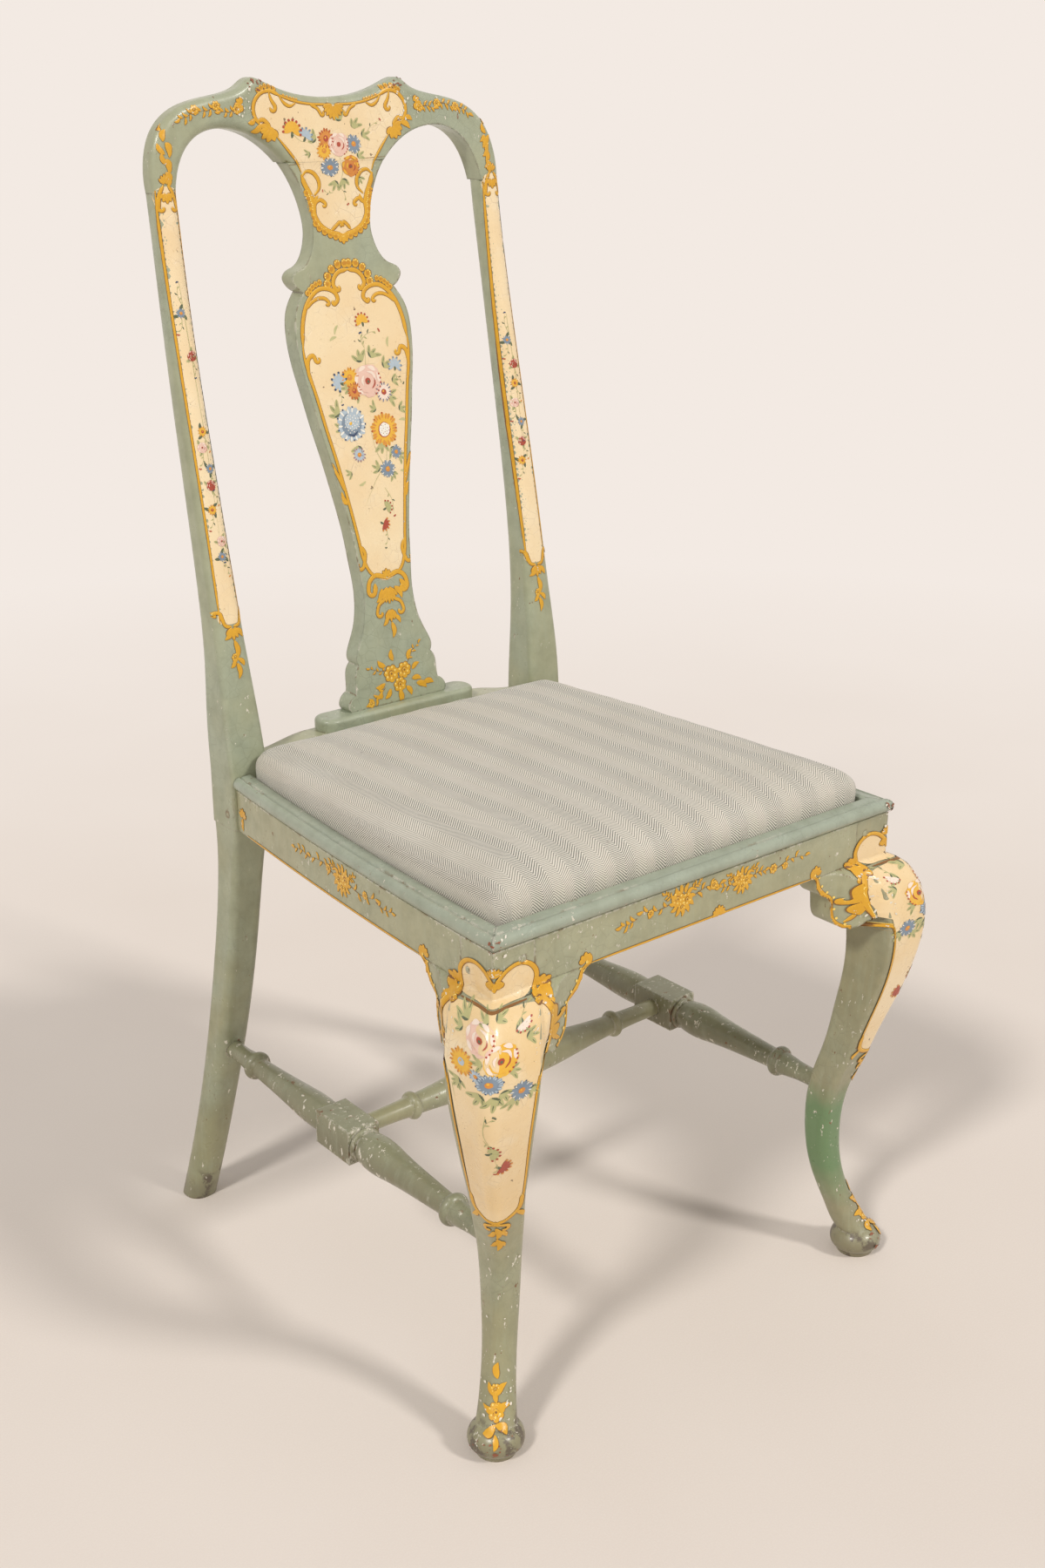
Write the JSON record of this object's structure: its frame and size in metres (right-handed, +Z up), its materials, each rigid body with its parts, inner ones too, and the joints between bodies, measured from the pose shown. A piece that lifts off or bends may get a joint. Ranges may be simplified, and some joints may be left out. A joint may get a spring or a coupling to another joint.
{
  "type": "side chair",
  "caption": "Painted side chair with a hoop back, vase splat, cabriole front legs, turned H-stretcher and a lift-out upholstered seat.",
  "frame": {"origin": "on the floor, under the middle of the chair's bounding box", "axes": "+Z up, the chair faces -Y, +X to the right of someone who looks at its front; symmetric about X = 0"},
  "size_m": [0.4988, 0.5474, 1.0356],
  "materials": {
    "painted_wood": "worn hand-painted sage green with cream panels, gold scrolls and flowers",
    "bare_wood": "unpainted hardwood",
    "webbing": "woven jute webbing",
    "tack_steel": "blued steel",
    "hessian": "plain hessian",
    "stuffing": "felted stuffing",
    "seat_fabric": "linen with a narrow herringbone stripe"
  },
  "bodies": {
    "chair_frame": {"front_seat_rail": "painted_wood", "rear_seat_rail": "painted_wood", "left_seat_rail": "painted_wood", "right_seat_rail": "painted_wood", "front_seat_moulding": "painted_wood", "left_seat_moulding": "painted_wood", "right_seat_moulding": "painted_wood", "front_leg_left": "painted_wood", "front_leg_right": "painted_wood", "rear_leg_left": "painted_wood", "rear_leg_right": "painted_wood", "crest_rail": "painted_wood", "back_splat": "painted_wood", "splat_shoe": "painted_wood", "knee_bracket_front_left": "painted_wood", "knee_bracket_front_right": "painted_wood", "knee_bracket_side_left": "painted_wood", "knee_bracket_side_right": "painted_wood", "left_side_stretcher": "painted_wood", "right_side_stretcher": "painted_wood", "cross_stretcher": "painted_wood", "corner_block_front_left": "bare_wood", "corner_block_front_right": "bare_wood", "corner_block_rear_left": "bare_wood", "corner_block_rear_right": "bare_wood", "joint_pegs": "bare_wood", "crest_dowels": "bare_wood"},
    "slip_seat": {"slip_front_rail": "bare_wood", "slip_rear_rail": "bare_wood", "slip_left_rail": "bare_wood", "slip_right_rail": "bare_wood", "webbing_lengthwise": "webbing", "webbing_crosswise": "webbing", "webbing_tacks": "tack_steel", "hessian": "hessian", "seat_stuffing": "stuffing", "seat_cover": "seat_fabric", "cover_tacks": "tack_steel"}
  },
  "joints": [
    {"name": "seat_lift", "type": "slide", "parent": "chair_frame", "child": "slip_seat", "axis": [0, 0, 1], "range_m": [0, 0.12]}
  ]
}
